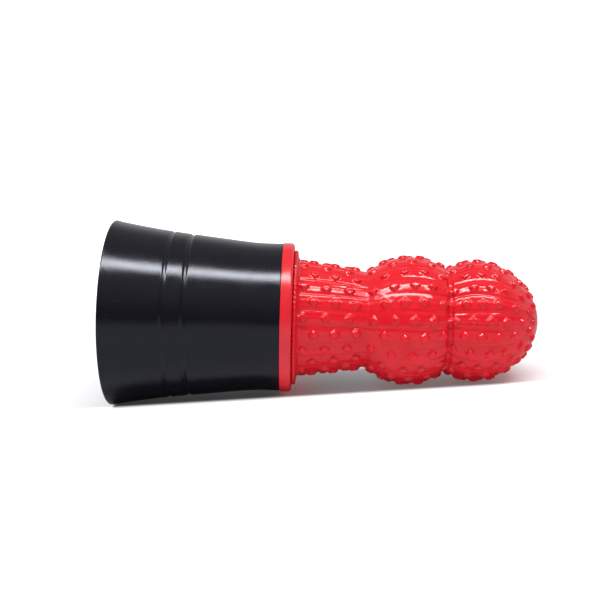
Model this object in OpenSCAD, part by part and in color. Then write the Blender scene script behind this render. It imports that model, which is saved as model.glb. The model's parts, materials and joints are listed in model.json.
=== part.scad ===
// Squeeze-bulb horn, lying on its side: a flared bell with a soft bulb held in its narrow end
// by a screwed collar, and a beating reed inside the bulb.
// Each piece is drawn along its own axis, r across and z from the mouth to the bulb's tip,
// and lying() then lays the whole horn down so that mouth edge and end lobe touch the floor.

/* [Bell] */
// Outside diameter of the mouth
mouth_d = 75; // [73:0.5:78]
// Outside diameter of the narrow end
throat_d = 59.6; // [59:0.2:61]
// Length from the mouth to the collar
bell_len = 68.2; // [66:0.2:72]
// Wall thickness
bell_wall = 2.4; // [2:0.1:2.4]
// Length of the curved flare behind the mouth
flare_len = 30; // [26:1:34]
// Outside diameter at the end of the flare
flare_end_d = 65.8; // [65:0.2:67]
// Distance of the narrower groove from the mouth
groove_front_z = 23.9; // [20:0.1:25]
// Distance of the wider groove from the mouth
groove_rear_z = 31.7; // [30:0.1:36]
// Width of the narrower groove, its rounded shoulders included
groove_front_w = 2.2; // [1.8:0.1:3]
// Width of the wider groove, its rounded shoulders included
groove_rear_w = 2.7; // [2:0.1:3.4]
// Depth of the narrower groove
groove_front_depth = 0.45; // [0.3:0.05:0.9]
// Depth of the wider groove
groove_rear_depth = 0.6; // [0.4:0.05:1]

/* [Collar] */
// Outside diameter of the collar's head
collar_d = 60.2; // [60:0.2:62]
// Thickness of the head
collar_head = 4.5; // [3.5:0.1:6]
// Rounding of the head's outer edge
collar_round = 1.2; // [0.6:0.1:1.6]
// Diameter of the hole that the bulb's neck passes through
collar_bore = 48.6; // [48.4:0.1:49]
// Depth of the screwed spigot in the bell
spigot_len = 5.2; // [4:0.1:6]

/* [Bulb] */
// Length from the mouth to the bulb's tip
horn_len = 172; // [168:1:178]
// Diameter of the bead outside the collar
bead_d = 54.6; // [53:0.2:56]
// Diameter where the root meets the bead
root_d = 48.4; // [47:0.2:48.6]
// Diameter of the valley between root and middle lobe
waist_d = 40.6; // [38:0.2:44]
// Diameter of the middle lobe
lobe_d = 52.8; // [50:0.2:54]
// Diameter of the crease between the lobes
crease_d = 44; // [42:0.2:47]
// Diameter of the end lobe
end_lobe_d = 49.8; // [47:0.2:52]
// Wall thickness, pleats and knobs included
bulb_wall = 3.4; // [2.6:0.1:4]
// Depth of the flat that the horn's weight presses into the soft end lobe where it rests
rest_flat = 0.8; // [0.6:0.1:1.2]

/* [Reed] */
// Outside diameter of the reed tube
shallot_d = 8; // [7:0.2:8.4]
// Length of the reed tube
shallot_len = 44; // [38:1:48]
// Thickness of the tongue
tongue_t = 0.4; // [0.3:0.05:0.5]
// Width of the tongue
tongue_w = 6.4; // [5.6:0.2:6.4]
// Gap between the tongue's free end and the reed tube
tongue_gap = 0.9; // [0.5:0.1:1.4]

/* [Plate and screws] */
// Thickness of the reed plate
plate_t = 2.2; // [1.8:0.1:3]
// Thickness of the gasket under it
gasket_t = 1; // [0.6:0.1:1.4]
// Number of screws
screw_count = 3; // [3:1:4]
// Radius of the circle that the screws stand on
screw_circle_r = 17.6; // [17:0.1:18]

/* [Hidden] */
$fn = 96;

// Clearances
gap = 0.1;
soft_gap = 0.3;
thread_gap = 0.08;
push_gap = 0.04;

// Bell
mouth_r = mouth_d / 2;
throat_r = throat_d / 2;
flare_end_r = flare_end_d / 2;
lip_round = 0.7;
cone_slope = 0.11;
shoulder_start_z = bell_len - 15;
shoulder_len = 2 * (cone_r(shoulder_start_z) - throat_r) / cone_slope;
thread_r = throat_r - bell_wall;

// Stack inside the narrow end, from the ledge up
ledge_t = 2.4;
ledge_bore_r = 14;
flange_t = 2.3;
flange_top_z = bell_len - spigot_len - gap / 2;
flange_z = flange_top_z - flange_t;
plate_top_z = flange_z - gap;
plate_z = plate_top_z - plate_t;
ledge_top_z = plate_z - gasket_t;
ledge_z = ledge_top_z - ledge_t;
ledge_skirt = 9;
plate_r = thread_r - 0.5;
boss_r = 3.3;
boss_len = 5;

// Screws
pilot_r = 1.25;
shank_r = 1.2;
clear_r = 1.6;
head_r = 2.8;
head_h = 1.8;
recess_w = 0.8;
recess_depth = 1;

// Reed
shallot_r = shallot_d / 2;
shallot_wall = 0.7;
socket_bore_r = shallot_r + 1.5;
socket_r = socket_bore_r + 2.4;
socket_up = 5.4;
socket_down = 6;
plug_cap = 1.5;
plug_top_z = plate_top_z + socket_up + plug_cap;
shallot_z = plate_z - socket_down + 1.6;
shallot_end_z = shallot_z + shallot_len;
flat_x = -1.5;
flat_z = shallot_z + 4;
tongue_end_z = shallot_end_z - 1.6;

// Collar
collar_r = collar_d / 2;
collar_z = bell_len + gap;
collar_top_z = collar_z + collar_head;
collar_bore_r = collar_bore / 2;

// Bulb
neck_r = collar_bore_r - soft_gap;
neck_bore_r = 21.6;
bead_z = collar_top_z + soft_gap;
bead_len = 1.3;
root_z = bead_z + bead_len + 0.3;
waist_z = 101.8;
lobe_z = 119.6;
crease_z = 134.4;
end_lobe_z = 146;

// Points along a cubic curve from a to d, pulled towards b and c, without the point a itself
function curve(a, b, c, d, count = 8) = [
    for (i = [1 : count]) let (t = i / count, s = 1 - t)
        s * s * s * a + 3 * s * s * t * b + 3 * s * t * t * c + t * t * t * d
];

// Points along a circular arc of radius r about a centre, between two angles
function arc(centre, r, from, to, count = 6) = [
    for (i = [0 : count]) let (a = from + (to - from) * i / count)
        centre + r * [cos(a), sin(a)]
];

function reversed(list) = [for (i = [len(list) - 1 : -1 : 0]) list[i]];

// Straight cone that the whole bell follows
function cone_r(z) = flare_end_r - cone_slope * (z - flare_len);

// Extra radius of the flare, which fades into the cone
function flare(z) = z < flare_len ? (mouth_r - cone_r(0)) * pow(1 - z / flare_len, 2) : 0;

// Outside radius of the bell: flare, cone, then a shoulder that runs out into a cylinder
function bell_r(z) =
    let (t = min(shoulder_len, max(0, z - shoulder_start_z)))
        cone_r(min(z, shoulder_start_z)) + flare(z)
        - cone_slope * (t - t * t / (2 * shoulder_len));

// Depth of a groove with rounded shoulders at a distance from its middle
function dip(from_middle, width, depth) =
    abs(from_middle) < width / 2 ? depth * (1 + cos(360 * from_middle / width)) / 2 : 0;

function grooves(z) =
    dip(z - groove_front_z, groove_front_w, groove_front_depth)
    + dip(z - groove_rear_z, groove_rear_w, groove_rear_depth);

// Equal steps from one value to another, without the first value
function steps(from, to, count) = [for (i = [1 : count]) from + (to - from) * i / count];

// Where the bell's outline has its points
bell_stations = concat(
    steps(lip_round, groove_front_z - groove_front_w / 2, 14),
    steps(groove_front_z - groove_front_w / 2, groove_front_z + groove_front_w / 2, 10),
    steps(groove_front_z + groove_front_w / 2, groove_rear_z - groove_rear_w / 2, 4),
    steps(groove_rear_z - groove_rear_w / 2, groove_rear_z + groove_rear_w / 2, 12),
    [shoulder_start_z],
    steps(shoulder_start_z, shoulder_start_z + shoulder_len, 8)
);
bell_outside = [for (z = bell_stations) [bell_r(z) - grooves(z), z]];
bell_inside = [
    for (z = concat(steps(lip_round, flare_len, 10), [ledge_z - ledge_skirt]))
        [bell_r(z) - bell_wall, z]
];

// Lip: a flat land with its two corners rounded, from the inner corner to the outer one
lip = concat(
    arc([mouth_r - bell_wall + lip_round, lip_round], lip_round, 180, 270),
    arc([mouth_r - lip_round, lip_round], lip_round, 270, 360)
);

// Outside of the bulb from the bead to the tip, inset by a wall thickness
function bulb_side(inset) = [
    for (p = concat(
        [[root_d / 2, root_z]],
        curve(
            [root_d / 2, root_z],
            [root_d / 2 - 1.2, root_z + 8],
            [waist_d / 2 + 1.4, waist_z - 6],
            [waist_d / 2, waist_z]
        ),
        curve(
            [waist_d / 2, waist_z],
            [waist_d / 2 + 3, waist_z + 4.6],
            [lobe_d / 2, lobe_z - 8.4],
            [lobe_d / 2, lobe_z], 10
        ),
        curve(
            [lobe_d / 2, lobe_z],
            [lobe_d / 2, lobe_z + 7.6],
            [crease_d / 2 + 1.8, crease_z - 4],
            [crease_d / 2, crease_z], 10
        ),
        curve(
            [crease_d / 2, crease_z],
            [crease_d / 2 + 1.2, crease_z + 4],
            [end_lobe_d / 2, end_lobe_z - 5],
            [end_lobe_d / 2, end_lobe_z], 10
        )
    )) p - [inset, 0]
];

// Round end of the bulb, a quarter oval from the end lobe to the axis
function bulb_tip(inset) = curve(
    [end_lobe_d / 2 - inset, end_lobe_z],
    [end_lobe_d / 2 - inset, end_lobe_z + (horn_len - end_lobe_z) * 0.5],
    [(end_lobe_d / 2 - inset) * 0.52, horn_len - inset],
    [0, horn_len - inset], 16
);

// Resting pose: the tilt at which the lip's widest circle meets the floor and the end lobe,
// before it is pressed flat, would reach below it by the depth of its flat
tilt = min([
    for (p = concat(bulb_side(0), bulb_tip(0)))
        atan((mouth_r + rest_flat - p[0]) / (p[1] - lip_round))
]);
rest_height = mouth_r * cos(tilt) + lip_round * sin(tilt);
x_low = min([for (p = lip) p[1] * cos(tilt) - p[0] * sin(tilt)]);
x_high = max([for (p = bulb_tip(0)) p[1] * cos(tilt) + p[0] * sin(tilt)]);

module lying() {
    translate([-(x_low + x_high) / 2, 0, rest_height])
        rotate([0, 90 + tilt, 0])
            children();
}

// Copies its children onto the screw circle, the first one underneath
module on_screw_circle() {
    for (i = [0 : screw_count - 1])
        rotate(i * 360 / screw_count)
            translate([screw_circle_r, 0, 0])
                children();
}

// Everything below the floor
module underground() {
    translate([-horn_len, -mouth_r, -mouth_r]) cube([2 * horn_len, mouth_d, mouth_r]);
}

module ring(outer_r, inner_r, height) {
    difference() {
        cylinder(r = outer_r, h = height);
        translate([0, 0, -1]) cylinder(r = inner_r, h = height + 2);
    }
}

// Flared bell with its lip, two outside grooves, threaded counterbore, ledge and screw bosses
module bell() {
    color("#14161a")
        lying()
            difference() {
                union() {
                    rotate_extrude()
                        polygon(concat(
                            lip,
                            bell_outside,
                            [
                                [throat_r, bell_len],
                                [thread_r, bell_len],
                                [thread_r, ledge_top_z],
                                [ledge_bore_r, ledge_top_z],
                                [ledge_bore_r, ledge_z],
                                [thread_r - 3, ledge_z]
                            ],
                            reversed(bell_inside)
                        ));
                    translate([0, 0, ledge_z - boss_len])
                        on_screw_circle() cylinder(r = boss_r, h = boss_len + ledge_t / 2);
                }
                translate([0, 0, ledge_z - boss_len + 1])
                    on_screw_circle() cylinder(r = pilot_r, h = boss_len + ledge_t);
            }
}

// Flat ring that seals the reed plate on the ledge
module plate_gasket() {
    color("#3a3a3c")
        lying()
            translate([0, 0, ledge_top_z])
                difference() {
                    ring(plate_r, ledge_bore_r, gasket_t);
                    translate([0, 0, -1])
                        on_screw_circle() cylinder(r = clear_r, h = gasket_t + 2);
                }
}

// Disc that closes the narrow end, with a socket for the reed through its middle
module reed_plate() {
    color("#d9d6cc")
        lying()
            difference() {
                union() {
                    translate([0, 0, plate_z]) cylinder(r = plate_r, h = plate_t);
                    translate([0, 0, plate_z - socket_down])
                        cylinder(r = socket_r, h = socket_down + plate_t + socket_up);
                }
                translate([0, 0, plate_z - socket_down - 1])
                    cylinder(r = socket_bore_r, h = socket_down + plate_t + socket_up + 2);
                translate([0, 0, plate_z - 1])
                    on_screw_circle() cylinder(r = clear_r, h = plate_t + 2);
            }
}

// Pan-head screws with a cross recess
module plate_screws() {
    color("#b9bcc0")
        lying()
            on_screw_circle() {
                translate([0, 0, ledge_z - boss_len + 1.6])
                    cylinder(r = shank_r, h = plate_top_z - ledge_z + boss_len - 1.6);
                translate([0, 0, plate_top_z]) screw_head();
            }
}

module screw_head() {
    difference() {
        rotate_extrude()
            polygon(concat(
                [[0, 0], [head_r, 0]],
                arc([head_r - 1, head_h - 1], 1, 0, 90),
                [[0, head_h]]
            ));
        for (turn = [0, 90])
            rotate(turn)
                translate([-1.6, -recess_w / 2, head_h - recess_depth])
                    cube([3.2, recess_w, recess_depth + 1]);
    }
}

// Rubber sleeve that holds the reed tube in the plate's socket
module reed_plug() {
    color("#2b2a2c")
        lying()
            difference() {
                union() {
                    translate([0, 0, plate_z - socket_down])
                        cylinder(
                            r = socket_bore_r - push_gap,
                            h = plug_top_z - plate_z + socket_down
                        );
                    translate([0, 0, plug_top_z - plug_cap])
                        cylinder(r = socket_bore_r + 1.4, h = plug_cap);
                }
                translate([0, 0, plate_z - socket_down - 1])
                    cylinder(
                        r = shallot_r + push_gap,
                        h = plug_top_z - plate_z + socket_down + 2
                    );
            }
}

// Brass tube, closed at its far end, with one side cut flat for the tongue to beat on
module reed_shallot() {
    color("#c9a24b")
        lying()
            difference() {
                translate([0, 0, shallot_z]) cylinder(r = shallot_r, h = shallot_len);
                translate([0, 0, shallot_z - 1])
                    cylinder(r = shallot_r - shallot_wall, h = shallot_len - 1);
                translate([flat_x - shallot_d, -shallot_d, flat_z])
                    cube([shallot_d, shallot_d * 2, shallot_len]);
            }
}

// Spring-brass strip: flat under the wedge, then curving away from the tube
module reed_tongue() {
    free = tongue_end_z - plug_top_z;
    below = [
        for (i = [0 : 8])
            [flat_x - tongue_gap * pow(i / 8, 2), plug_top_z + free * i / 8]
    ];
    side = concat([[flat_x, flat_z + 0.2]], below);
    color("#d8b45a")
        lying()
            translate([0, tongue_w / 2, 0])
                rotate([90, 0, 0])
                    linear_extrude(tongue_w)
                        polygon(concat(
                            side,
                            [for (p = reversed(side)) p - [tongue_t, 0]]
                        ));
}

// Segment that wedges the tongue's root against the tube inside the plug
module reed_wedge() {
    color("#8a6a3a")
        lying()
            translate([0, 0, flat_z + 0.4])
                intersection() {
                    cylinder(r = shallot_r, h = plug_top_z - flat_z - 0.6);
                    translate([flat_x - tongue_t - push_gap - shallot_d, -shallot_d, 0])
                        cube([shallot_d, shallot_d * 2, shallot_len]);
                }
}

// Screwed ring: a head flush with the bell, a plain spigot standing for its thread
module collar_ring() {
    color("#b5121b")
        lying()
            rotate_extrude()
                polygon(concat(
                    [
                        [collar_bore_r, collar_z - spigot_len],
                        [thread_r - thread_gap, collar_z - spigot_len],
                        [thread_r - thread_gap, collar_z],
                        [collar_r, collar_z]
                    ],
                    arc([collar_r - collar_round, collar_top_z - collar_round],
                        collar_round, 0, 90),
                    [[collar_bore_r, collar_top_z]]
                ));
}

// Hollow soft moulding: flange, neck, bead, root, middle lobe, crease and end lobe,
// which is pressed flat where it rests
module bulb() {
    color("#c4101c")
        difference() {
            lying()
                rotate_extrude()
                    polygon(concat(
                        [
                            [neck_bore_r, flange_z],
                            [plate_r, flange_z],
                            [plate_r, flange_top_z - gap],
                            [neck_r, flange_top_z - gap],
                            [neck_r, bead_z]
                        ],
                        arc([bead_d / 2 - bead_len / 2, bead_z + bead_len / 2],
                            bead_len / 2, -90, 90, 8),
                        bulb_side(0),
                        bulb_tip(0),
                        reversed(bulb_tip(bulb_wall)),
                        reversed(bulb_side(bulb_wall))
                    ));
            underground();
        }
}

bell();
plate_gasket();
reed_plate();
plate_screws();
reed_plug();
reed_shallot();
reed_tongue();
reed_wedge();
collar_ring();
bulb();
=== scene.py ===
# The looks of a squeeze-bulb horn that lies on a pale floor: turned plastic bell and collar,
# a pleated and knobbed soft bulb, and the reed set inside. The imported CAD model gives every
# place and size. Meshes are made in the horn's own frame, in millimetres: z runs from the
# mouth along the axis, -x is up and -y faces the camera.
import json
import math

import bmesh
import bpy
import numpy as np
from mathutils import Matrix, Quaternion, Vector


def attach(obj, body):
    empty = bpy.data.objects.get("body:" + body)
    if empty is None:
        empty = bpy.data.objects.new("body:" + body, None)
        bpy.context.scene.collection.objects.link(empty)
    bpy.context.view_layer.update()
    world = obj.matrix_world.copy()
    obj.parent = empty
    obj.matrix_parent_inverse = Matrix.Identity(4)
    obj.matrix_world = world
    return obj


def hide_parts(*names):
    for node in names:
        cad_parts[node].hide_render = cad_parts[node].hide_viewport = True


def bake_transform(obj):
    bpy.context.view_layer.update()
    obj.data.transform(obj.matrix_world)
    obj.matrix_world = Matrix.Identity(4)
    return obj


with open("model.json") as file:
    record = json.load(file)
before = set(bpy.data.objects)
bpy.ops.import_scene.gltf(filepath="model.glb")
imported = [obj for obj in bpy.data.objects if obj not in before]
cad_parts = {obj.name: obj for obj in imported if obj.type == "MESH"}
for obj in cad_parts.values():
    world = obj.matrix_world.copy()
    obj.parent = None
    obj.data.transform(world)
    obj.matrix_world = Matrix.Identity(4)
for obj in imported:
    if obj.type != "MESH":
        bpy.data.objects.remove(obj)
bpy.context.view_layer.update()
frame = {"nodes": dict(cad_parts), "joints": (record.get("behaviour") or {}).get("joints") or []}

MM = 0.001
JOINTS = {joint["name"]: joint for joint in frame["joints"]}
AXIS = Vector(JOINTS["collar_turn"]["axis"]).normalized()
SIDE = Vector((0, 1, 0))
UP = AXIS.cross(SIDE)


def mouth_centre():
    """The point of the axis in the plane of the bell's mouth edge."""
    pivot = Vector(JOINTS["collar_turn"]["pos_m"])
    reach = min((v.co - pivot).dot(AXIS) for v in frame["nodes"]["bell"].data.vertices)
    return pivot + AXIS * reach


MOUTH = mouth_centre()
HORN = Matrix((-UP, SIDE, AXIS)).transposed().to_4x4()
HORN.translation = MOUTH
FROM_MM = HORN @ Matrix.Scale(MM, 4)
TO_MM = FROM_MM.inverted()


# ---- outlines, as arrays of (radius, distance from the mouth) ----


def section(node):
    """A turned CAD node's outline in the half plane above its axis, in order.
    It's a closed loop, or a chain whose two ends are on the axis."""
    bm = bmesh.new()
    bm.from_mesh(frame["nodes"][node].data)
    bm.transform(TO_MM)
    bmesh.ops.remove_doubles(bm, verts=bm.verts, dist=1e-3)
    bmesh.ops.bisect_plane(
        bm, geom=bm.verts[:] + bm.edges[:] + bm.faces[:], dist=1e-3,
        plane_co=(0, 0, 0), plane_no=(0, 1, 0), clear_inner=True, clear_outer=True,
    )
    below = [v for v in bm.verts if v.co.x > 1e-2]
    bmesh.ops.delete(bm, geom=below, context="VERTS")
    ends = [v for v in bm.verts if len(v.link_edges) == 1]
    here = min(ends or bm.verts, key=lambda v: v.co.z)
    walked = [here]
    seen = {here}
    while here:
        ahead = [e.other_vert(here) for e in here.link_edges if e.other_vert(here) not in seen]
        here = ahead[0] if ahead else None
        if here:
            walked.append(here)
            seen.add(here)
    points = np.array([(-v.co.x, v.co.z) for v in walked])
    bm.free()
    return anticlockwise(points)


def anticlockwise(points):
    ahead = np.roll(points, -1, axis=0)
    turn = np.sum(points[:, 0] * ahead[:, 1] - ahead[:, 0] * points[:, 1])
    return points if turn > 0 else points[::-1]


def on_axis(points):
    """True for a chain that starts and ends on the axis."""
    return points[0, 0] < 0.05 and points[-1, 0] < 0.05


def arc_length(points):
    steps = np.hypot(*np.diff(points, axis=0).T)
    return np.concatenate(([0], np.cumsum(steps)))


def resampled(points, step):
    """The same line with evenly spaced points."""
    length = arc_length(points)
    count = max(8, int(round(length[-1] / step)))
    places = np.linspace(0, length[-1], count + 1)
    return np.stack([np.interp(places, length, points[:, k]) for k in (0, 1)], axis=1)


def softened(points, radius, step=0.1):
    """Rounds every corner of an outline to about the given radius."""
    closed = not on_axis(points)
    if closed:
        points = np.vstack([points, points[:1]])
    line = resampled(points, step)
    reach = int(3 * radius / step)
    if closed:
        line = line[:-1]
        padded = np.vstack([line[-reach:], line, line[:reach]])
    else:
        mirror = np.array([-1, 1])
        padded = np.vstack([line[reach:0:-1] * mirror, line, line[-2 : -reach - 2 : -1] * mirror])
    weight = np.exp(-0.5 * (np.arange(-reach, reach + 1) * step / radius) ** 2)
    weight /= weight.sum()
    blurred = np.stack([np.convolve(padded[:, k], weight, "valid") for k in (0, 1)], axis=1)
    if not closed:
        blurred[[0, -1], 0] = 0
    return blurred


def thinned(points, longest, bend=4.0):
    """Leaves out points where an outline runs straight. bend is in degrees."""
    ahead = np.diff(points, axis=0)
    heading = np.unwrap(np.arctan2(ahead[:, 1], ahead[:, 0]))
    kept = [0]
    for i in range(1, len(points) - 1):
        turned_by = abs(heading[i] - heading[kept[-1]])
        far = np.hypot(*(points[i] - points[kept[-1]]))
        if turned_by > math.radians(bend) or far > longest:
            kept.append(i)
    kept.append(len(points) - 1)
    return points[kept]


def outward(points, closed):
    """Unit vectors that point out of the material, one for each point of an outline."""
    if closed:
        along = np.roll(points, -1, axis=0) - np.roll(points, 1, axis=0)
    else:
        along = np.gradient(points, axis=0)
    along /= np.maximum(np.hypot(*along.T)[:, None], 1e-9)
    return np.stack([along[:, 1], -along[:, 0]], axis=1)


# ---- meshes ----


def put_in_scene(name, mesh, body, slot, material, *nodes):
    """A finished mesh, in the row frame, as a piece that moves with a body."""
    piece = bpy.data.objects.new(name, mesh)
    bpy.context.scene.collection.objects.link(piece)
    mesh.materials.append(material)
    if body:
        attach(piece, body)
    if nodes:
        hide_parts(*nodes)
    return piece


def turned(name, outline, columns, shift=None):
    """A mesh of an outline swept round the axis. shift is how far each point of the sweep,
    by row and column, stands out of the outline."""
    rows = len(outline)
    angle = np.arange(columns) * 2 * np.pi / columns
    closed = not on_axis(outline)
    radius = np.repeat(outline[:, :1], columns, axis=1)
    station = np.repeat(outline[:, 1:], columns, axis=1)
    if shift is not None:
        out = outward(outline, closed)
        radius = radius + out[:, :1] * shift
        station = station + out[:, 1:] * shift
    grid = np.stack([-radius * np.sin(angle), -radius * np.cos(angle), station], axis=2)
    number = np.arange(rows * columns).reshape(rows, columns)
    if closed:
        points = grid.reshape(-1, 3)
        strips = np.vstack([number, number[:1]])
        caps = []
    else:
        tips = np.array([[0, 0, station[0].mean()], [0, 0, station[-1].mean()]])
        points = np.vstack([grid.reshape(-1, 3), tips])
        strips = number[1:-1]
        caps = [(len(points) - 2, strips[0]), (len(points) - 1, strips[-1][::-1])]
    low, high = strips[:-1], strips[1:]
    quads = np.stack([low, high, np.roll(high, -1, axis=1), np.roll(low, -1, axis=1)], axis=2)
    faces = quads.reshape(-1, 4).tolist()
    for tip, ring in caps:
        faces += [(tip, a, b) for a, b in zip(ring.tolist(), np.roll(ring, -1).tolist())]
    return mesh_of(name, points, faces)


def mesh_of(name, points, faces):
    mesh = bpy.data.meshes.new(name)
    mesh.from_pydata(points.tolist(), [], faces)
    mesh.transform(FROM_MM)
    bm = bmesh.new()
    bm.from_mesh(mesh)
    loose = [v for v in bm.verts if not v.link_faces]
    bmesh.ops.delete(bm, geom=loose, context="VERTS")
    bm.to_mesh(mesh)
    bm.free()
    mesh.validate()
    mesh.shade_smooth()
    return mesh


def combined(name, mesh, tool, operation):
    """A mesh with another one added to it or cut out of it."""
    base = bpy.data.objects.new(name, mesh)
    other = bpy.data.objects.new(name + "_tool", tool)
    for o in (base, other):
        bpy.context.scene.collection.objects.link(o)
    change = base.modifiers.new("change", "BOOLEAN")
    change.operation = operation
    change.object = other
    change.solver = "EXACT"
    bpy.context.view_layer.update()
    seen = base.evaluated_get(bpy.context.evaluated_depsgraph_get())
    result = bpy.data.meshes.new_from_object(seen)
    result.name = name
    for o in (base, other):
        bpy.data.objects.remove(o)
    return result


# ---- materials ----


def new_material(name):
    material = bpy.data.materials.new(name)
    material.use_nodes = True
    tree = material.node_tree
    shader = tree.nodes["Principled BSDF"]
    return material, tree, shader


def add(tree, kind, sockets=None, **settings):
    """A shader node. sockets gives the value or the link of each input by name or number."""
    node = tree.nodes.new("ShaderNode" + kind)
    for name, value in settings.items():
        setattr(node, name, value)
    for name, value in (sockets or {}).items():
        if isinstance(value, bpy.types.NodeSocket):
            tree.links.new(value, node.inputs[name])
        else:
            node.inputs[name].default_value = value
    return node


def horn_place(tree):
    """Places in the horn's own frame, in metres, on a piece that moves or not."""
    own = add(tree, "TexCoord").outputs["Object"]
    sockets = {"Vector": own, "Location": MOUTH, "Rotation": HORN.to_euler()}
    return add(tree, "Mapping", sockets, vector_type="TEXTURE").outputs[0]


def stretched(tree, place, scale, turn=(0, 0, 0)):
    return add(tree, "Mapping", {"Vector": place, "Scale": scale, "Rotation": turn}).outputs[0]


def grain(tree, place, scale, detail=3.0, roughness=0.5, distortion=0.0):
    sockets = {
        "Vector": place, "Scale": scale, "Detail": detail,
        "Roughness": roughness, "Distortion": distortion,
    }
    return add(tree, "TexNoise", sockets).outputs[0]


def spots(tree, place, scale, size):
    """Specks: 1 in the middle of a speck and 0 outside it, for about one cell in four."""
    cells = add(tree, "TexVoronoi", {"Vector": place, "Scale": scale, "Randomness": 1.0})
    near = ramp(tree, cells.outputs["Distance"], size, size * 0.5, 0.0, 1.0)
    some = ramp(tree, separate(tree, cells.outputs["Color"])[0], 0.72, 0.76, 0.0, 1.0)
    return maths(tree, "MULTIPLY", near, some)


def separate(tree, value):
    return add(tree, "SeparateColor", {"Color": value}).outputs


def ramp(tree, value, low, high, at_low, at_high):
    sockets = {"Value": value, 1: low, 2: high, 3: at_low, 4: at_high}
    return add(tree, "MapRange", sockets, interpolation_type="SMOOTHSTEP").outputs[0]


def maths(tree, operation, first, second=0.0):
    return add(tree, "Math", {0: first, 1: second}, operation=operation).outputs[0]


def mix_rgb(tree, share, first, second):
    node = tree.nodes.new("ShaderNodeMix")
    node.data_type = "RGBA"
    for index, value in ((0, share), (6, first), (7, second)):
        if isinstance(value, bpy.types.NodeSocket):
            tree.links.new(value, node.inputs[index])
        else:
            node.inputs[index].default_value = value
    return node.outputs[2]


def bumped(tree, height, distance, under=None):
    """A normal from a height, on top of another one. distance is the height of 1, in metres."""
    sockets = {"Height": height, "Distance": distance}
    if under:
        sockets["Normal"] = under
    return add(tree, "Bump", sockets).outputs[0]


def finish_with(tree, shader, **links):
    """Feeds the shader's inputs from nodes, or sets them to plain values."""
    for name, value in links.items():
        socket = shader.inputs[name.replace("_", " ")]
        if isinstance(value, bpy.types.NodeSocket):
            tree.links.new(value, socket)
        else:
            socket.default_value = value


def bell_plastic():
    """Black gloss plastic: slightly wavy, finely scratched, with a few specks of dust."""
    material, tree, shader = new_material("bell_plastic")
    place = horn_place(tree)
    wave = grain(tree, place, 60, 1.0)
    smear = grain(tree, place, 95, 4.0, 0.6)
    fine = grain(tree, place, 2300, 3.0, 0.7)
    along = grain(tree, stretched(tree, place, (900, 900, 25)), 1.0, 2.0)
    across = grain(tree, stretched(tree, place, (60, 60, 1600), (0.3, 0.2, 0)), 1.0, 2.0)
    along = ramp(tree, along, 0.66, 0.78, 0, 1)
    across = ramp(tree, across, 0.66, 0.78, 0, 1)
    scratch = maths(tree, "ADD", along, across)
    dust = spots(tree, place, 380, 0.07)
    colour = mix_rgb(tree, smear, (0.0026, 0.0020, 0.0042, 1), (0.0046, 0.0036, 0.0070, 1))
    colour = mix_rgb(tree, dust, colour, (0.06, 0.06, 0.065, 1))
    rough = ramp(tree, smear, 0.3, 0.75, 0.13, 0.19)
    rough = maths(tree, "ADD", rough, maths(tree, "MULTIPLY", scratch, 0.1))
    normal = bumped(tree, wave, 0.00006)
    normal = bumped(tree, fine, 0.000028, normal)
    normal = bumped(tree, scratch, 0.000008, normal)
    finish_with(
        tree, shader, Base_Color=colour, Roughness=rough, Normal=normal, IOR=1.5,
        Specular_Tint=(0.86, 0.9, 1.0, 1),
    )
    return material


def collar_plastic():
    """Red plastic with a satin gloss."""
    material, tree, shader = new_material("collar_plastic")
    place = horn_place(tree)
    cloud = grain(tree, place, 130, 3.0)
    fine = grain(tree, place, 2600, 2.0)
    colour = mix_rgb(tree, cloud, (0.53, 0.011, 0.019, 1), (0.58, 0.014, 0.025, 1))
    rough = ramp(tree, cloud, 0.3, 0.7, 0.20, 0.26)
    normal = bumped(tree, fine, 0.0000015)
    finish_with(tree, shader, Base_Color=colour, Roughness=rough, Normal=normal, IOR=1.5)
    return material


def bulb_rubber():
    """Red, wet-looking soft material that lets a little light in."""
    material, tree, shader = new_material("bulb_rubber")
    place = horn_place(tree)
    cloud = grain(tree, place, 90, 3.0)
    fine = grain(tree, place, 900, 2.0)
    colour = mix_rgb(tree, cloud, (0.545, 0.0056, 0.0120, 1), (0.62, 0.0080, 0.0172, 1))
    rough = ramp(tree, cloud, 0.3, 0.7, 0.11, 0.19)
    normal = bumped(tree, fine, 0.000006)
    finish_with(
        tree, shader, Base_Color=colour, Roughness=rough, Normal=normal, IOR=1.5,
        Subsurface_Weight=0.12, Subsurface_Radius=(1.0, 0.12, 0.08), Subsurface_Scale=0.002,
    )
    return material


def metal(name, dark, light, low, high, along):
    """Metal with fine lines left by drawing or rolling, and a slight tarnish."""
    material, tree, shader = new_material(name)
    place = horn_place(tree)
    tarnish = grain(tree, place, 260, 5.0, 0.6)
    lines = grain(tree, stretched(tree, place, along), 1.0, 3.0)
    colour = mix_rgb(tree, tarnish, (*dark, 1), (*light, 1))
    rough = ramp(tree, maths(tree, "MULTIPLY", tarnish, lines), 0.1, 0.45, low, high)
    normal = bumped(tree, lines, 0.000004)
    finish_with(tree, shader, Base_Color=colour, Roughness=rough, Normal=normal, Metallic=1.0)
    return material


def soft_black(name, dark, light, rough_low, rough_high):
    """Matt rubber with a fine moulded grain."""
    material, tree, shader = new_material(name)
    place = horn_place(tree)
    cloud = grain(tree, place, 300, 4.0)
    fine = grain(tree, place, 3000, 2.0)
    colour = mix_rgb(tree, cloud, (*dark, 1), (*light, 1))
    rough = ramp(tree, fine, 0.3, 0.7, rough_low, rough_high)
    finish_with(
        tree, shader, Base_Color=colour, Roughness=rough, Normal=bumped(tree, fine, 0.00001)
    )
    return material


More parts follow.
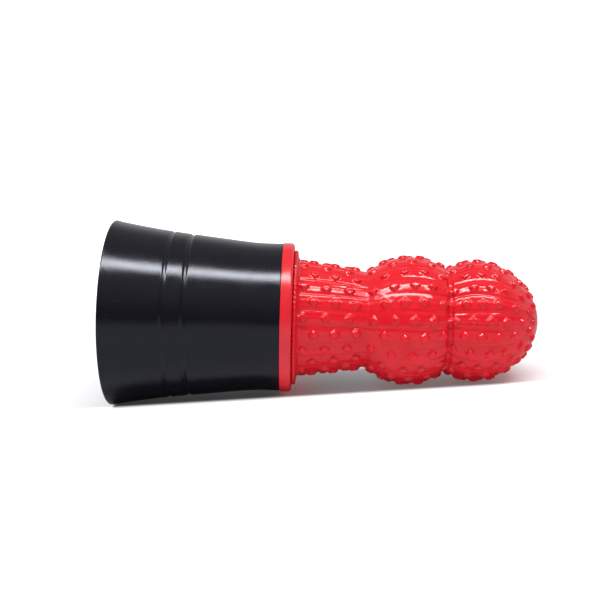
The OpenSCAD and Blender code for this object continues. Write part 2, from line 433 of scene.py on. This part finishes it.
def plate_plastic():
    """Cream matt moulded plastic with faint flow marks."""
    material, tree, shader = new_material("plate_plastic")
    place = horn_place(tree)
    flow = grain(tree, stretched(tree, place, (120, 420, 420)), 1.0, 4.0, 0.6, 1.2)
    fine = grain(tree, place, 2400, 2.0)
    colour = mix_rgb(tree, flow, (0.60, 0.565, 0.46, 1), (0.70, 0.67, 0.58, 1))
    rough = ramp(tree, flow, 0.3, 0.7, 0.38, 0.5)
    finish_with(
        tree, shader, Base_Color=colour, Roughness=rough, Normal=bumped(tree, fine, 0.000008)
    )
    return material


def wedge_wood():
    """Bare close-grained wood, its grain along the reed."""
    material, tree, shader = new_material("wedge_wood")
    place = horn_place(tree)
    rings = grain(tree, stretched(tree, place, (1500, 1500, 90)), 1.0, 4.0, 0.6, 0.6)
    colour = mix_rgb(tree, rings, (0.20, 0.105, 0.04, 1), (0.42, 0.26, 0.12, 1))
    rough = ramp(tree, rings, 0.3, 0.7, 0.5, 0.7)
    finish_with(
        tree, shader, Base_Color=colour, Roughness=rough, Normal=bumped(tree, rings, 0.00003)
    )
    return material


# ---- bell, in millimetres ----

LEDGE = 54.95  # the bosses stand on it
BOSS_END = 49.95
BOSS_RADIUS = 3.3
BOSS_CIRCLE = 17.6
PILOT_RADIUS = 1.25
COLUMNS = 288  # round the axis, for the bell and the collar


def post(radius, low, high, rounding):
    """Outline of a round post, closed at both ends, with its low end rounded."""
    corner = np.radians(np.linspace(-90, 0, 6))
    foot = [
        (radius - rounding + rounding * math.cos(a), low + rounding + rounding * math.sin(a))
        for a in corner
    ]
    return np.array([(0, low), *foot, (radius, high), (0, high)])


def posts(name, outline):
    """Three posts on the screw circle, the first one underneath, as one mesh."""
    bm = bmesh.new()
    for turn in range(3):
        mesh = turned(name, outline, 40)
        place = Matrix.Rotation(turn * 2 * math.pi / 3, 4, "Z")
        place = place @ Matrix.Translation((BOSS_CIRCLE, 0, 0))
        mesh.transform(FROM_MM @ place @ TO_MM)
        bm.from_mesh(mesh)
        bpy.data.meshes.remove(mesh)
    made = bpy.data.meshes.new(name)
    bmesh.ops.recalc_face_normals(bm, faces=bm.faces)
    bm.to_mesh(made)
    bm.free()
    return made


def make_bell():
    outline = thinned(softened(section("bell"), 0.16), 1.6)
    shell = turned("bell_shell", outline, COLUMNS)
    bosses = posts("bosses", post(BOSS_RADIUS, BOSS_END, LEDGE + 0.6, 0.5))
    shell = combined("bell_shell", shell, bosses, "UNION")
    pilots = posts("pilots", post(PILOT_RADIUS, BOSS_END + 1, LEDGE + 5, 0.3))
    shell = combined("bell_shell", shell, pilots, "DIFFERENCE")
    shell.set_sharp_from_angle(angle=math.radians(35))
    put_in_scene("bell_shell", shell, "bell", "bell", bell_plastic(), "bell")


# ---- collar, in millimetres ----

THREAD_PITCH = 1.5
THREAD_DEPTH = 0.66
SPIGOT_START = 63.4
SPIGOT_END = 68.0
SPIGOT_BORE = 25.5


def collar_thread(outline, columns):
    """A right-hand screw thread on the spigot."""
    angle = np.arange(columns) * 2 * np.pi / columns
    radius, station = outline[:, :1], outline[:, 1:]
    turns = 2 * np.pi * station / THREAD_PITCH + angle
    shape = np.clip(0.5 - 0.75 * np.cos(turns), 0, 1)
    ends = step_between(station, SPIGOT_START, SPIGOT_START + 0.5)
    ends = ends * step_between(-station, -SPIGOT_END, 0.5 - SPIGOT_END)
    return -THREAD_DEPTH * shape * ends * (radius > SPIGOT_BORE)


def make_collar():
    outline = softened(section("collar_ring"), 0.2)
    outline = thinned(outline, 0.14, 30.0)
    shift = collar_thread(outline, COLUMNS)
    ring = turned("collar_head", outline, COLUMNS, shift)
    put_in_scene("collar_head", ring, "collar", "collar", collar_plastic(), "collar_ring")


# ---- bulb, in millimetres ----

ROWS_OF_KNOBS = 22
COLUMNS_PER_ROW = 24
FIRST_ROW = 10.3  # degrees from the camera's side towards the top
KNOB_HEIGHT = 1.0
KNOB_HALF = 2.2  # half of a knob's width on a wide part of the bulb
KNOB_POWER = 1.3  # 1 gives four-cornered knobs and 2 gives round ones
JITTER_ALONG = 0.35  # how far a knob is off its station, either way
JITTER_ASIDE = 0.3  # how far a knob is off its row, either way
FULL_SIZE_RADIUS = 14  # nearer to the axis than this, knobs are smaller
TIP_RADIUS = 3.5  # no knobs nearer to the axis than this
TIP_FILLED = (146, 156)  # along here the skin starts to fill out towards the tip
BEAD = (73.1, 74.4)
BEAD_FOOT = 24.8  # radius at the bead's foot
BEAD_TEETH = 88
BEAD_STEP = 0.22  # how far the bead's face stands towards the collar
TOOTH_DEPTH = 0.14
ROOT_START = 74.7
CREASE = 134.4
CREASE_DEPTH = 1.1
SKIN_STEP = 0.31  # between points of the outside's outline
LIFT = 0.0009  # metres that the lobes are bent up by
LIFT_ALONG = (0.02, 0.07)  # where the bend starts and ends, in metres along X


def unevenness(angle, length, seed, around, along, waves=24):
    """A smooth random field of about -1 to 1 that closes on itself round the axis."""
    dice = np.random.default_rng(seed)
    field = np.zeros(np.broadcast(angle, length).shape)
    for _ in range(waves):
        turns = dice.integers(-around, around + 1)
        rate = dice.uniform(-along, along)
        field += np.cos(turns * angle + rate * length + dice.uniform(0, 2 * np.pi))
    return field / math.sqrt(2 * waves)


def step_between(value, low, high):
    """A smooth step from 0 at low to 1 at high."""
    t = np.clip((value - low) / (high - low), 0, 1)
    return t * t * (3 - 2 * t)


def knob_stations(odd):
    """How far from the mouth a row's knobs stand: on the root, the middle and the end lobe."""
    root = [81.0 + 8.5 * k for k in range(3)] if odd else [76.9 + 9.0 * k for k in range(4)]
    middle = [108.2 + 7.9 * k for k in range(4)] if odd else [112.0 + 7.8 * k for k in range(4)]
    end = [139.4 + 6.8 * k for k in range(5)] if odd else [142.6 + 6.9 * k for k in range(4)]
    end = end + ([] if odd else [168.6])
    return root + middle + end


def knobs(outline, length, outer, angle):
    """Rounded four-cornered knobs in rows, as heights over the skin."""
    dice = np.random.default_rng(7)
    height = np.zeros((len(outline), len(angle)))
    along = np.where(outer)[0]
    for row in range(ROWS_OF_KNOBS):
        middle = math.radians(FIRST_ROW) + row * 2 * np.pi / ROWS_OF_KNOBS
        for station in knob_stations(row % 2 == 1):
            place = along[np.argmin(abs(outline[along, 1] - station))]
            radius = outline[place, 0]
            if radius < TIP_RADIUS:
                continue
            size = KNOB_HALF * min(1, max(0.5, radius / FULL_SIZE_RADIUS))
            size = size * dice.uniform(0.93, 1.05)
            here = length[place] + dice.uniform(-JITTER_ALONG, JITTER_ALONG)
            side = middle + dice.uniform(-JITTER_ASIDE, JITTER_ASIDE) / radius
            near = along[abs(length[along] - here) < 1.1 * size]
            across = np.angle(np.exp(1j * (angle - side)))[None, :] * outline[near, :1]
            down = (length[near] - here)[:, None]
            reach = abs(across / size) ** KNOB_POWER + abs(down / size) ** KNOB_POWER
            reach = reach ** (1 / KNOB_POWER)
            slope = np.clip((1 - reach) / 0.5, 0, 1)
            top = KNOB_HEIGHT * (size / KNOB_HALF) ** 0.7 * slope * (2 - slope)
            height[near] = np.maximum(height[near], top)
    return height


def rib_height(station):
    """Height of the lengthwise pleats along the horn: low at both ends and at the waist."""
    places = [ROOT_START, 76.5, 97, 103, 110, 117, 127, 133, 137, 143, 158, 168]
    heights = [0.15, 0.5, 0.5, 0.12, 0.14, 0.3, 0.3, 0.3, 0.4, 0.45, 0.38, 0.1]
    return np.interp(station, places, heights)


def ribs(outline, length, angle):
    """Rounded lengthwise pleats with a narrow valley halfway between two rows of knobs."""
    station = outline[:, 1:]
    wobble = 0.10 * unevenness(angle, length[:, None], 3, 9, 0.25)
    turn = (angle - math.radians(FIRST_ROW)) * ROWS_OF_KNOBS / (2 * np.pi) + wobble
    inside = turn - np.round(turn)
    deep = 0.72 + 0.45 * unevenness(angle, length[:, None], 5, 11, 0.09)
    uneven = 0.6 + 0.5 * unevenness(angle, length[:, None], 9, 11, 0.2)
    second = 0.16 * np.cos(6 * np.pi * inside) * uneven
    shape = 1 - abs(2 * inside) ** 2.6 * np.clip(deep, 0.25, 1.25) + second
    return rib_height(station) * shape


def relief(outline, columns):
    """How far the soft skin stands out of its outline. The knobs' tops reach the outline."""
    angle = np.arange(columns) * 2 * np.pi / columns
    length = arc_length(outline)
    station, radius = outline[:, 1:], outline[:, :1]
    outer = np.arange(len(outline)) > np.argmin(outline[:, 1])
    skin = outer[:, None] * step_between(station, ROOT_START, ROOT_START + 1.0)
    depth = KNOB_HEIGHT + rib_height(station)
    blunt = step_between(station, *TIP_FILLED)
    depth = depth * (1 - blunt * (1 - np.interp(radius, [0, 8, 22], [0.3, 0.5, 1])))
    crease = CREASE_DEPTH * np.exp(-abs(station - CREASE) / 0.5)
    rough = 0.07 * unevenness(angle, length[:, None], 1, 14, 0.5)
    rough = rough + 0.03 * unevenness(angle, length[:, None], 2, 60, 2.0, 40)
    axial = np.interp(radius, [1.5, 7], [0, 1])
    high = ribs(outline, length, angle) * axial + knobs(outline, length, outer, angle)
    shift = skin * (high + rough * axial - depth - crease)
    teeth = TOOTH_DEPTH * (1 + np.cos(BEAD_TEETH * angle))
    bead = outer[:, None] * (station > BEAD[0]) * (station < BEAD[1])
    return shift - bead * teeth


def skin_outline():
    """The bulb's outline with close points on its outside and few on its inside."""
    line = softened(section("bulb"), 0.2)
    facing = (line[:, 1] > BEAD[0] - 0.15) & (line[:, 1] < BEAD[0] + 0.6)
    line[facing & (line[:, 0] > BEAD_FOOT), 1] -= BEAD_STEP
    turn = int(np.argmin(line[:, 1]))
    inside = thinned(line[: turn + 1], 2.2, 9.0)
    start = turn + int(np.argmax(line[turn:, 1] > BEAD[0] - 0.3))
    neck = thinned(line[turn : start + 1], 1.5, 9.0)
    outside = resampled(line[start:], SKIN_STEP)
    return np.vstack([inside, neck[1:], outside[1:]])


def settled(mesh):
    """Bends the soft lobes up a little, and flattens what would be under the floor."""
    places = np.empty(len(mesh.vertices) * 3)
    mesh.vertices.foreach_get("co", places)
    bend = LIFT * step_between(places[0::3], *LIFT_ALONG)
    places[2::3] = np.maximum(places[2::3] + bend, 0)
    mesh.vertices.foreach_set("co", places)
    mesh.update()


def make_bulb():
    outline = skin_outline()
    columns = ROWS_OF_KNOBS * COLUMNS_PER_ROW
    mesh = turned("bulb_skin", outline, columns, relief(outline, columns))
    settled(mesh)
    put_in_scene("bulb_skin", mesh, "bulb", "bulb", bulb_rubber(), "bulb")


# ---- reed set ----

EDGE_ROUNDING = 0.06  # of the tongue, in millimetres


def tongue_levels():
    """The CAD tongue's sections: distance from the mouth, underside and top, half width."""
    levels = {}
    for v in frame["nodes"]["reed_tongue"].data.vertices:
        place = TO_MM @ v.co
        levels.setdefault(round(place.z, 1), []).append((place.x, place.y))
    found = []
    for station, corners in sorted(levels.items()):
        heights = [x for x, y in corners]
        found.append((station, max(heights), min(heights), max(y for x, y in corners)))
    return np.array(found)


def make_tongue():
    """A thin brass strip with slightly rounded edges."""
    levels = tongue_levels()
    stations = np.linspace(levels[0, 0], levels[-1, 0], 90)
    low, high, half = (np.interp(stations, levels[:, 0], levels[:, k]) for k in (1, 2, 3))
    edge = EDGE_ROUNDING
    grid = []
    for z, under, over, side in zip(stations, low, high, half):
        grid += [
            (under, -side + edge, z), (under - edge, -side, z), (over + edge, -side, z),
            (over, -side + edge, z), (over, side - edge, z), (over + edge, side, z),
            (under - edge, side, z), (under, side - edge, z),
        ]
    number = np.arange(len(grid)).reshape(-1, 8)
    faces = []
    for a, b in zip(number[:-1], number[1:]):
        faces += np.stack([a, b, np.roll(b, -1), np.roll(a, -1)], axis=1).tolist()
    faces += [number[0].tolist(), number[-1][::-1].tolist()]
    mesh = mesh_of("tongue_strip", np.array(grid), faces)
    mesh.set_sharp_from_angle(angle=math.radians(30))
    brass = metal(
        "tongue_brass", (0.62, 0.42, 0.14), (0.80, 0.60, 0.26), 0.2, 0.4, (2500, 2500, 40)
    )
    strip = put_in_scene("tongue_strip", mesh, None, "tongue", brass, "reed_tongue")
    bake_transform(strip)


def dress(node, material):
    """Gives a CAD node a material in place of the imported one."""
    data = frame["nodes"][node].data
    data.materials.clear()
    data.materials.append(material)


def make_reed_set():
    make_tongue()
    dress("plate_gasket", soft_black("gasket_rubber", (0.022,) * 3, (0.035,) * 3, 0.6, 0.8))
    dress("reed_plate", plate_plastic())
    dress("reed_plug", soft_black("plug_rubber", (0.008,) * 3, (0.014,) * 3, 0.45, 0.65))
    steel = metal(
        "zinc_steel", (0.50, 0.52, 0.55), (0.68, 0.69, 0.70), 0.22, 0.4, (900, 900, 900)
    )
    dress("plate_screws", steel)
    brass = metal(
        "tube_brass", (0.55, 0.36, 0.11), (0.78, 0.57, 0.23), 0.18, 0.36, (2200, 2200, 30)
    )
    dress("reed_shallot", brass)
    dress("reed_wedge", wedge_wood())


# ---- studio ----

# Lengths in metres, angles in degrees, the lens in millimetres.
CAMERA_AIM = Vector((-0.0082055, 0, 0.0376838))
CAMERA_DISTANCE = 0.4226987
CAMERA_AZIMUTH = 1.7759
CAMERA_ELEVATION = 9.9217
CAMERA_ROLL = -3.8966
CAMERA_LENS = 62.544
FLOOR_SIDE = 12.0
FLOOR_LIFT = 0.45  # light that the floor throws up at the object
STRIP_LENGTH = 1.3
STRIP_WIDTH = 0.14
STRIP_DISTANCE = 0.76
STRIP_ELEVATION = 72.3
STRIP_RADIANCE = 19.0
MIDDLE_HEIGHT = 0.035  # the strip points at this height over the origin


def direction(azimuth, elevation):
    """A unit vector from the object towards a place. Azimuth 0 is the camera's side, -Y."""
    a, e = math.radians(azimuth), math.radians(elevation)
    return Vector((math.sin(a) * math.cos(e), -math.cos(a) * math.cos(e), math.sin(e)))


def make_camera():
    camera = bpy.data.objects.new("camera", bpy.data.cameras.new("camera"))
    bpy.context.scene.collection.objects.link(camera)
    back = direction(CAMERA_AZIMUTH, CAMERA_ELEVATION)
    camera.location = CAMERA_AIM + back * CAMERA_DISTANCE
    camera.rotation_mode = "QUATERNION"
    roll = Quaternion((0, 0, 1), math.radians(CAMERA_ROLL))
    camera.rotation_quaternion = back.to_track_quat("Z", "Y") @ roll
    camera.data.lens = CAMERA_LENS
    camera.data.clip_start = 0.01
    camera.data.clip_end = 50
    bpy.context.scene.camera = camera


def make_floor():
    """The floor, a large square at the height that the object rests on."""
    half = FLOOR_SIDE / 2
    mesh = bpy.data.meshes.new("floor")
    corners = [(-half, -half, 0), (half, -half, 0), (half, half, 0), (-half, half, 0)]
    mesh.from_pydata(corners, [], [(0, 1, 2, 3)])
    floor = bpy.data.objects.new("floor", mesh)
    bpy.context.scene.collection.objects.link(floor)
    mesh.materials.append(floor_white())


def floor_white():
    """White paper, not of one plain value. To the camera alone it glows with painted light:
    a little all over and more under the bulb than under the bell, which sets how dark the
    cast shadow looks, and fully far from the object and in front of its contact line, which
    whitens the cast shadow there. Light from it adds to what lights the object. It looks
    darker in reflections. Under the bulb it has a painted blue-green tint, against the red
    light that the bulb throws down."""
    material, tree, shader = new_material("floor_white")
    tree.nodes.remove(shader)
    rays = add(tree, "LightPath").outputs
    place = add(tree, "TexCoord").outputs["Object"]
    far = add(tree, "VectorMath", {0: place}, operation="LENGTH").outputs["Value"]
    x, y = add(tree, "SeparateXYZ", {0: place}).outputs[:2]
    # Painted tint: a blue-green floor colour under the bulb that cancels the red light the bulb
    # throws down.
    near = ramp(tree, maths(tree, "ABSOLUTE", y), 0.01, 0.045, 1.0, 0.0)
    near = maths(tree, "MULTIPLY", near, ramp(tree, x, 0.055, 0.085, 1.0, 0.0))
    under = maths(tree, "MULTIPLY", near, ramp(tree, x, -0.025, 0.005, 0.0, 1.0))
    white = mix_rgb(tree, under, (0.86, 0.86, 0.87, 1), (0.42, 0.96, 0.96, 1))
    colour = mix_rgb(tree, rays["Is Glossy Ray"], white, (0.33, 0.34, 0.37, 1))
    paper = add(tree, "BsdfDiffuse", {"Color": colour}).outputs[0]
    # Painted light: a glow for the camera that lightens the cast shadow, more towards the bulb,
    # and wipes it out in front of the contact line.
    painted_glow = ramp(tree, far, 0.12, 0.5, 0.0, 1.1)
    painted_glow = maths(tree, "ADD", painted_glow, ramp(tree, x, -0.03, 0.02, 0.025, 0.10))
    painted_glow = maths(tree, "ADD", painted_glow, ramp(tree, y, -0.0065, -0.0125, 0.0, 1.0))
    painted_glow = maths(tree, "MULTIPLY", painted_glow, rays["Is Camera Ray"])
    lift = maths(tree, "MULTIPLY", rays["Is Diffuse Ray"], FLOOR_LIFT)
    painted_glow = maths(tree, "ADD", painted_glow, lift)
    light = add(tree, "Emission", {"Color": (1, 1, 1, 1), "Strength": painted_glow}).outputs[0]
    both = add(tree, "AddShader", {0: paper, 1: light}).outputs[0]
    tree.links.new(both, tree.nodes["Material Output"].inputs["Surface"])
    return material


def make_strip():
    """A long, narrow softbox, overhead and slightly in front."""
    light = bpy.data.lights.new("strip", "AREA")
    light.shape = "RECTANGLE"
    light.size = STRIP_LENGTH
    light.size_y = STRIP_WIDTH
    light.energy = STRIP_RADIANCE * math.pi * STRIP_LENGTH * STRIP_WIDTH
    place = direction(0, STRIP_ELEVATION)
    strip = bpy.data.objects.new("strip", light)
    bpy.context.scene.collection.objects.link(strip)
    strip.location = Vector((0, 0, MIDDLE_HEIGHT)) + place * STRIP_DISTANCE
    strip.rotation_mode = "QUATERNION"
    strip.rotation_quaternion = place.to_track_quat("Z", "Y")


def make_world():
    """A dim studio: lighter behind the object, dark near the horizon on the camera's side.
    Only the camera sees it as plain white."""
    world = bpy.data.worlds.new("studio")
    world.use_nodes = True
    tree = world.node_tree
    toward = add(tree, "TexCoord").outputs["Generated"]
    y, z = add(tree, "SeparateXYZ", {0: toward}).outputs[1:]
    front = ramp(tree, z, 0.0, 0.8, 0.10, 0.38)
    back = ramp(tree, z, 0.35, 0.75, 0.60, 0.30)
    side = ramp(tree, y, -0.3, 0.3, 0.0, 1.0)
    level = add(tree, "Mix", {0: side, 2: front, 3: back}).outputs[0]
    camera = add(tree, "LightPath").outputs["Is Camera Ray"]
    level = add(tree, "Mix", {0: camera, 2: level, 3: 1.1}).outputs[0]
    background = tree.nodes["Background"]
    tree.links.new(level, background.inputs["Strength"])
    background.inputs["Color"].default_value = (0.97, 0.98, 1.0, 1)
    bpy.context.scene.world = world


def make_studio():
    make_camera()
    make_floor()
    make_strip()
    make_world()
    settings = bpy.context.scene.view_settings
    settings.view_transform = "Standard"
    settings.look = "None"


make_studio()
make_bell()
make_collar()
make_bulb()
make_reed_set()
